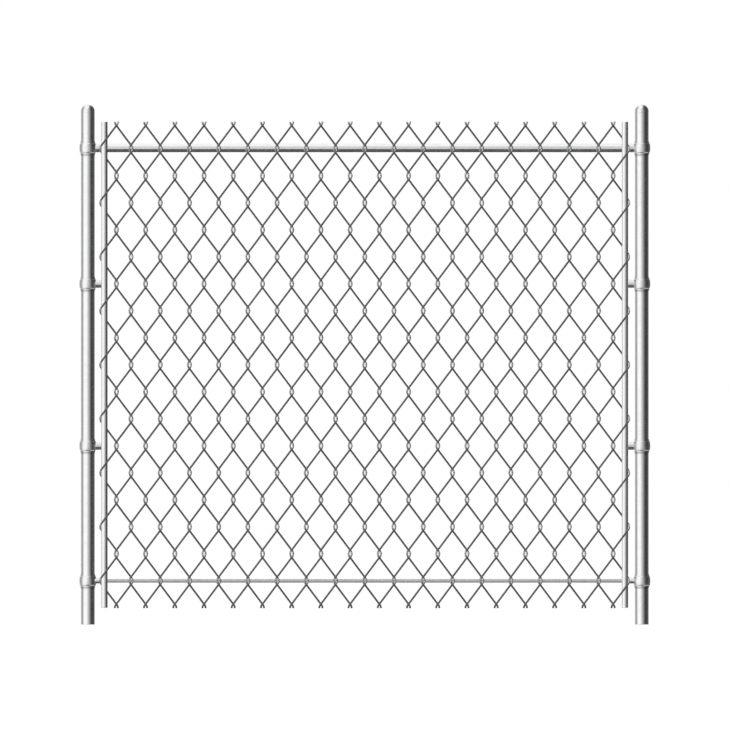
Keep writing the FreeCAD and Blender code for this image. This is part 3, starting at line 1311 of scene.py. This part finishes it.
@dataclass(frozen=True)
class Studio:
    """Camera, floor, world and the reflection tent round the panel."""

    frame_width: float = 1.8313
    view_centre: tuple[float, float] = (0.69555, 0.6512)
    camera_distance: float = 6.0
    floor_reach: float = 40.0
    floor_tone: float = 0.9
    floor_glow: float = 0.5
    fill: float = 0.45
    key_strength: float = 2.4
    key_softness: float = math.radians(25)
    key_heading: float = math.radians(-40)
    key_height: float = math.radians(55)
    tent_radius: float = 25.0
    tent_segments: int = 64
    tent_rings: int = 32
    tent_strength: float = 1.35
    roof_start: float = math.radians(40)
    roof_end: float = math.radians(65)
    roof_right_start: float = 0.12
    roof_right_end: float = 0.35
    roof_tone: float = 1.0
    ground_start: float = math.radians(-20)
    ground_end: float = math.radians(-34)
    ground_tone: float = 0.5
    runner_start: float = math.radians(-21)
    runner_end: float = math.radians(-28)
    runner_inner: float = 0.24
    runner_outer: float = 0.36
    runner_tone: float = 0.065

    # Heading from straight in front, in degrees and to the right, and the tent's tone there
    tent_tones: tuple[tuple[float, float], ...] = (
        (-180, 0.8), (-150, 0.8), (-130, 0.5), (-120, 0.3), (-94, 0.32), (-75, 0.72),
        (-63, 1.0), (-20, 1.0), (0, 0.64), (27, 0.33), (44, 0.13), (60, 0.045),
        (85, 0.035), (100, 0.06), (120, 0.1), (150, 0.13), (168, 0.25), (180, 0.7),
    )

    # Straight in front lies half way along the ramp of those tones
    AHEAD = 0.5

    def build(self) -> None:
        """Set the stage."""
        self._camera()
        self._world()
        self._floor()
        self._key_lamp()
        self._tent()
        bpy.context.scene.view_settings.view_transform = "Standard"

    def _camera(self) -> None:
        """Look straight at the panel's front, with no perspective."""
        data = bpy.data.cameras.new("front_camera")
        data.type = "ORTHO"
        data.ortho_scale = self.frame_width
        camera = put_in_scene("front_camera", data)
        x, z = self.view_centre
        camera.location = (x, -self.camera_distance, z)
        camera.rotation_euler = (math.pi / 2, 0.0, 0.0)
        bpy.context.scene.camera = camera

    def _seen(self, sheet: NodeSheet) -> Socket:
        """1 for rays that show the background: from the camera, or by way of metal or glass.

        Args:
            sheet: the material's or the world's nodes.

        Returns:
            The factor.
        """
        path = sheet.add("ShaderNodeLightPath").outputs
        mirrored = sheet.math("MAXIMUM", path["Is Glossy Ray"], path["Is Transmission Ray"])
        return sheet.math("MAXIMUM", path["Is Camera Ray"], mirrored)

    def _world(self) -> None:
        """White where it is seen, and a plain fill light elsewhere."""
        world = bpy.data.worlds.new("studio_world")
        sheet = NodeSheet.emptied(world)
        fill = sheet.result("ShaderNodeBackground", {"Color": grey(1.0), "Strength": self.fill})
        white = sheet.result("ShaderNodeBackground", {"Color": grey(1.0), "Strength": 1.0})
        mix = sheet.result("ShaderNodeMixShader", {0: self._seen(sheet), 1: fill, 2: white})
        sheet.add("ShaderNodeOutputWorld", {"Surface": mix})
        bpy.context.scene.world = world

    def _floor(self) -> None:
        """A wide pale floor that keeps the panel's shadow."""
        material = bpy.data.materials.new("pale_floor")
        sheet = NodeSheet.emptied(material)
        matt = sheet.result("ShaderNodeBsdfDiffuse", {"Color": grey(self.floor_tone)})
        glow = sheet.result("ShaderNodeEmission", {"Color": grey(1.0), "Strength": 1.0})
        share = sheet.math("MULTIPLY", self._seen(sheet), self.floor_glow)
        mix = sheet.result("ShaderNodeMixShader", {0: share, 1: matt, 2: glow})
        sheet.add("ShaderNodeOutputMaterial", {"Surface": mix})
        shape = bmesh.new()
        reach = self.floor_reach
        corners = ((-reach, -reach), (reach, -reach), (reach, reach), (-reach, reach))
        shape.faces.new([shape.verts.new((x, y, 0.0)) for x, y in corners])
        floor = put_in_scene("floor", as_mesh(shape, "floor"))
        floor.data.materials.append(material)
        leave_out_of_mirrors(floor)

    def _key_lamp(self) -> None:
        """One soft lamp from the upper left, for the floor and its shadow."""
        data = bpy.data.lights.new("key_lamp", "SUN")
        data.energy = self.key_strength
        data.angle = self.key_softness
        lamp = put_in_scene("key_lamp", data)
        lamp.rotation_euler = (math.pi / 2 - self.key_height, 0.0, self.key_heading)
        leave_out_of_mirrors(lamp)

    def _tent_cloth(self) -> Material:
        """The tent's glow: its tones by heading, then its white roof, grey ground and dark runner.

        Returns:
            The material.
        """
        material = bpy.data.materials.new("tent_cloth")
        sheet = NodeSheet.emptied(material)
        x, y, z = sheet.parts(sheet.add("ShaderNodeTexCoord").outputs["Object"])
        heading = sheet.math("ARCTAN2", x, sheet.math("MULTIPLY", y, -1.0))
        turned = sheet.math("MULTIPLY_ADD", heading, 1.0 / math.tau, self.AHEAD)
        walls = sheet.add("ShaderNodeValToRGB", {0: turned})
        stops = walls.color_ramp.elements
        while len(stops) < len(self.tent_tones):
            stops.new(self.AHEAD)
        for stop, (degrees, tone) in zip(stops, self.tent_tones):
            stop.position = math.radians(degrees) / math.tau + self.AHEAD
            stop.color = grey(tone)

        level = sheet.math("ARCSINE", sheet.math("DIVIDE", z, self.tent_radius))
        rightward = sheet.math("DIVIDE", x, self.tent_radius)
        overhead = sheet.ramp(level, self.roof_start, self.roof_end)
        not_right = sheet.ramp(rightward, self.roof_right_start, self.roof_right_end, *FALLING)
        roof = sheet.math("MULTIPLY", overhead, not_right)
        ground = sheet.ramp(level, self.ground_end, self.ground_start, *FALLING)
        sideways = sheet.math("ABSOLUTE", rightward)
        near_middle = sheet.ramp(sideways, self.runner_inner, self.runner_outer, *FALLING)
        under = sheet.ramp(level, self.runner_end, self.runner_start, *FALLING)
        runner = sheet.math("MULTIPLY", near_middle, under)
        cloth = walls.outputs[0]
        for share, tone in ((roof, self.roof_tone), (ground, self.ground_tone), (runner, self.runner_tone)):
            cloth = sheet.blend(share, cloth, grey(tone))
        glow = sheet.result("ShaderNodeEmission", {"Color": cloth, "Strength": self.tent_strength})
        sheet.add("ShaderNodeOutputMaterial", {"Surface": glow})
        material.cycles.emission_sampling = "NONE"
        return material

    def _tent(self) -> None:
        """A round tent that only metal sees: bright front left and overhead, dark on the right.

        Its ground is grey, with a dark runner from front to back that the rail and the arms mirror.
        """
        shape = bmesh.new()
        bmesh.ops.create_uvsphere(
            shape, u_segments=self.tent_segments, v_segments=self.tent_rings, radius=self.tent_radius,
        )
        tent = put_in_scene("reflection_tent", as_mesh(shape, "reflection_tent"))
        tent.data.materials.append(self._tent_cloth())
        x, z = self.view_centre
        tent.location = (x, 0.0, z)
        tent.visible_camera = False
        tent.visible_diffuse = False
        tent.visible_transmission = False
        tent.visible_shadow = False


def main() -> None:
    """Measure the panel, and build its looks piece by piece."""
    logging.basicConfig(level=logging.INFO, format="%(name)s: %(message)s")
    plan = PanelPlan.read()
    materials = zinc_materials(plan)
    for side in Side:
        PostSet(plan, side).build(materials)
    CrossPieces(plan).build(materials)
    for side in Side:
        TensionBar(plan, side).build(materials)
    WovenFabric(plan).build(materials)
    Fasteners(plan).build(materials)
    Studio().build()


if __name__ == "__main__":
    main()
